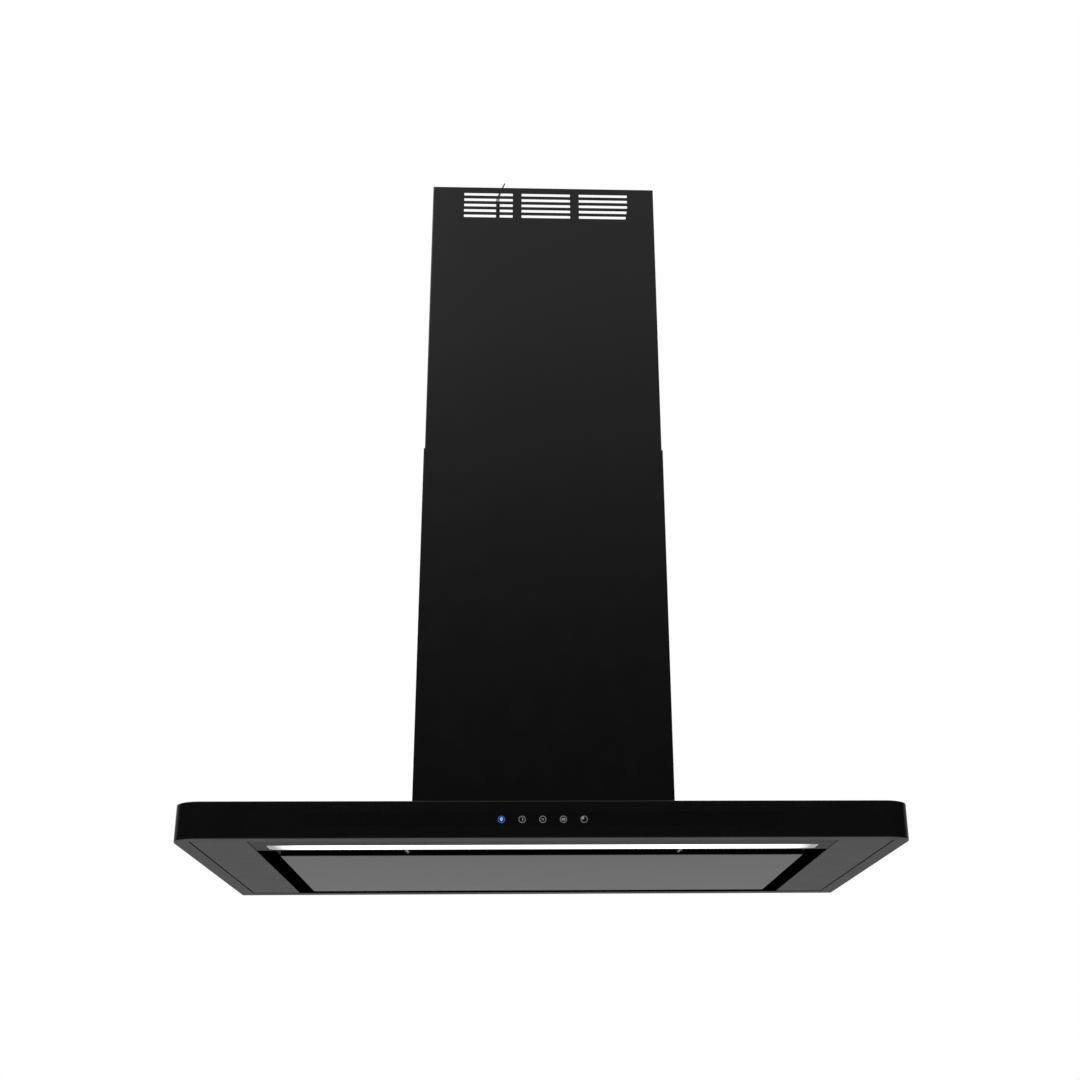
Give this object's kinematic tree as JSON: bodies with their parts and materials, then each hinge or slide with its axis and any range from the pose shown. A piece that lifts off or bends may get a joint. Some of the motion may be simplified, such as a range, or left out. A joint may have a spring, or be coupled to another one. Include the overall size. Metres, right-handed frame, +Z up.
{
  "type": "island range hood",
  "caption": "Ceiling-hung island cooker hood: flat canopy with a hinged perimeter suction panel, light bar and touch controls under two telescoping square chimney covers.",
  "frame": {"origin": "middle of the ceiling plate's top face, where the hood meets the ceiling", "axes": "+Z up towards the ceiling, -Y towards the side with the controls, +X to the right seen from the controls"},
  "size_m": [0.9, 0.5, 1.0325],
  "materials": {
    "cover_paint": "satin black powder coat",
    "fascia_gloss": "gloss black",
    "control_gloss": "gloss black",
    "plate_grey": "satin dark grey",
    "panel_grey": "satin grey",
    "galvanised": "zinc-coated sheet",
    "fastener_steel": "bright zinc",
    "spring_steel": "plain",
    "filter_aluminium": "mesh in a folded frame",
    "black_plastic": "matte black",
    "diffuser_white": "opal, lit from behind",
    "board": "circuit board",
    "light_board": "white circuit board",
    "driver_white": "white",
    "motor_body": "painted",
    "sheath": "matte black",
    "cores": "blue, green and yellow, brown"
  },
  "bodies": {
    "ceiling_frame": {"ceiling_plate": "galvanised", "upper_upright_front_left": "galvanised", "upper_upright_front_right": "galvanised", "upper_upright_rear_left": "galvanised", "upper_upright_rear_right": "galvanised", "upper_brace": "galvanised", "frame_bolts": "fastener_steel", "cover_screws": "fastener_steel", "lead_clip": "black_plastic"},
    "hood": {"canopy_shell": "fascia_gloss", "side_plate_left": "plate_grey", "side_plate_right": "plate_grey", "hinge_rail": "plate_grey", "control_housing": "black_plastic", "control_strip": "control_gloss", "control_board": "board", "light_bar": "plate_grey", "light_channel": "filter_aluminium", "light_diffuser": "diffuser_white", "led_board": "light_board", "led_driver": "driver_white", "filter_frame": "galvanised", "grease_filter_left": "filter_aluminium", "grease_filter_right": "filter_aluminium", "hinge_brackets": "spring_steel", "hinge_pins": "fastener_steel", "panel_catches": "spring_steel", "blower_casing": "galvanised", "casing_screws": "fastener_steel", "scroll_housing": "black_plastic", "inlet_rings": "black_plastic", "motor": "motor_body", "motor_bearings": "fastener_steel", "motor_bracket": "galvanised", "capacitor": "driver_white", "outlet_collar": "black_plastic", "damper_pin": "fastener_steel", "lower_upright_front_left": "galvanised", "lower_upright_front_right": "galvanised", "lower_upright_rear_left": "galvanised", "lower_upright_rear_right": "galvanised", "clamp_bolts": "fastener_steel", "control_box": "black_plastic", "control_box_lid": "black_plastic", "lead_gland": "black_plastic", "mains_lead": "sheath", "lead_cores": "cores", "lower_chimney_cover": "cover_paint", "lower_cover_screws": "fastener_steel"},
    "upper_cover": {"upper_chimney_cover": "cover_paint"},
    "suction_panel": {"suction_panel": "panel_grey", "panel_stiffeners": "galvanised", "panel_hinge_leaves": "spring_steel", "panel_catch_pins": "fastener_steel"},
    "impeller": {"impeller": "black_plastic", "impeller_shaft": "fastener_steel"},
    "damper_flap_front": {"damper_flap_front": "black_plastic"},
    "damper_flap_rear": {"damper_flap_rear": "black_plastic"},
    "filter_latch_left": {"filter_latch_left": "spring_steel"},
    "filter_latch_right": {"filter_latch_right": "spring_steel"}
  },
  "joints": [
    {"name": "height_slide", "type": "slide", "parent": "ceiling_frame", "child": "hood", "axis": [0, 0, 1], "range_m": [-0.04, 0.2]},
    {"name": "cover_slide", "type": "slide", "parent": "ceiling_frame", "child": "upper_cover", "axis": [0, 0, 1], "range_m": [-0.15, 0]},
    {"name": "panel_hinge", "type": "hinge", "parent": "hood", "child": "suction_panel", "pos_m": [0, 0.214, -1.001], "axis": [1, 0, 0], "range_deg": [0, 85]},
    {"name": "impeller_spin", "type": "hinge", "parent": "hood", "child": "impeller", "pos_m": [0, 0.027, -0.848], "axis": [1, 0, 0], "continuous": true},
    {"name": "damper_front_hinge", "type": "hinge", "parent": "hood", "child": "damper_flap_front", "pos_m": [0, 0, -0.672], "axis": [-1, 0, 0], "range_deg": [0, 75]},
    {"name": "damper_rear_hinge", "type": "hinge", "parent": "hood", "child": "damper_flap_rear", "pos_m": [0, 0, -0.672], "axis": [1, 0, 0], "range_deg": [0, 75]},
    {"name": "latch_left_slide", "type": "slide", "parent": "hood", "child": "filter_latch_left", "axis": [0, 1, 0], "range_m": [0, 0.008], "stiffness_N_per_m": 200, "springref_m": -0.003},
    {"name": "latch_right_slide", "type": "slide", "parent": "hood", "child": "filter_latch_right", "axis": [0, 1, 0], "range_m": [0, 0.008], "stiffness_N_per_m": 200, "springref_m": -0.003}
  ]
}
